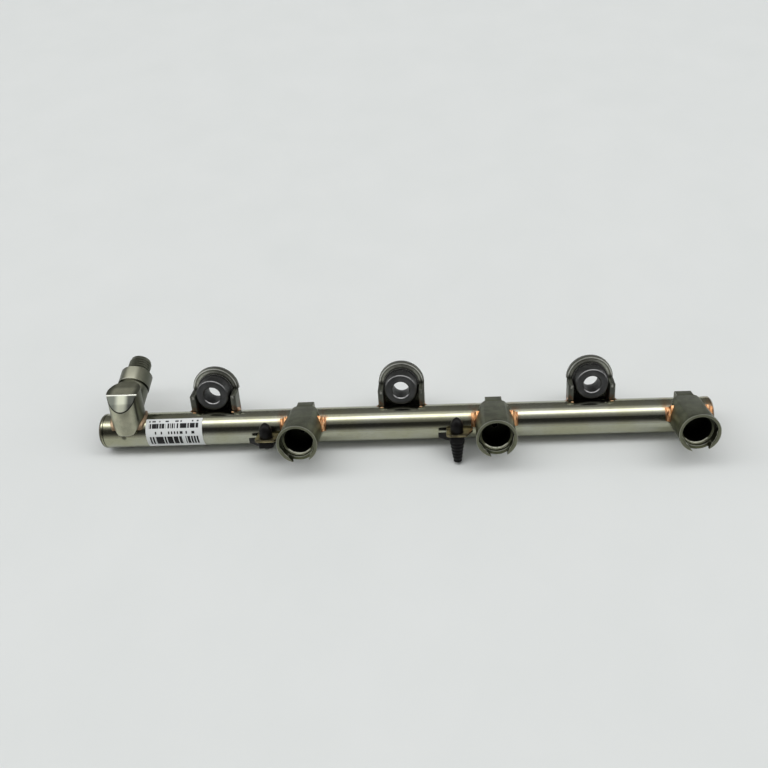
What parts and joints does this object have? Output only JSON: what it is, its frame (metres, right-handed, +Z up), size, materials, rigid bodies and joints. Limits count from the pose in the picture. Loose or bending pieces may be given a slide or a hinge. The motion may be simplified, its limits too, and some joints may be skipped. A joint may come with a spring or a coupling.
{
  "type": "fuel rail",
  "caption": "Steel high-pressure fuel rail: round tube with brazed injector cups, bolt brackets with bushes, an angled threaded inlet and black harness clips.",
  "frame": {"origin": "middle of the bottom of the box round the whole rail, as it lies on a flat surface on its tube and the feet of its brackets", "axes": "+X along the tube, away from the inlet; +Y from the cup mouths towards the bracket plates; +Z up from the surface it lies on"},
  "size_m": [0.3314, 0.0666, 0.034],
  "materials": {
    "tube_steel": "smooth drawn steel, warm grey, glossy",
    "cup_steel": "machined steel, satin green-grey",
    "fitting_steel": "forged and turned steel, satin",
    "bracket_steel": "pressed steel, satin",
    "bush_steel": "turned steel, dark satin",
    "tab_steel": "sheet steel, olive-yellow tint",
    "copper_braze": "copper brazing metal, glossy",
    "black_plastic": "black nylon",
    "label_paper": null
  },
  "bodies": {
    "root": {"rail_tube": "tube_steel", "end_plug_inlet_side": "tube_steel", "end_plug_far_side": "tube_steel", "inlet_fitting": "fitting_steel", "braze_inlet": "copper_braze", "injector_cup_1": "cup_steel", "injector_cup_2": "cup_steel", "injector_cup_3": "cup_steel", "braze_cup_1": "copper_braze", "braze_cup_2": "copper_braze", "braze_cup_3": "copper_braze", "mount_bracket_1": "bracket_steel", "mount_bracket_2": "bracket_steel", "mount_bracket_3": "bracket_steel", "mount_bush_1": "bush_steel", "mount_bush_2": "bush_steel", "mount_bush_3": "bush_steel", "braze_bracket_1": "copper_braze", "braze_bracket_2": "copper_braze", "braze_bracket_3": "copper_braze", "clip_tab_1": "tab_steel", "clip_tab_2": "tab_steel", "harness_clip_1": "black_plastic", "harness_clip_2": "black_plastic", "label": "label_paper"}
  },
  "joints": []
}
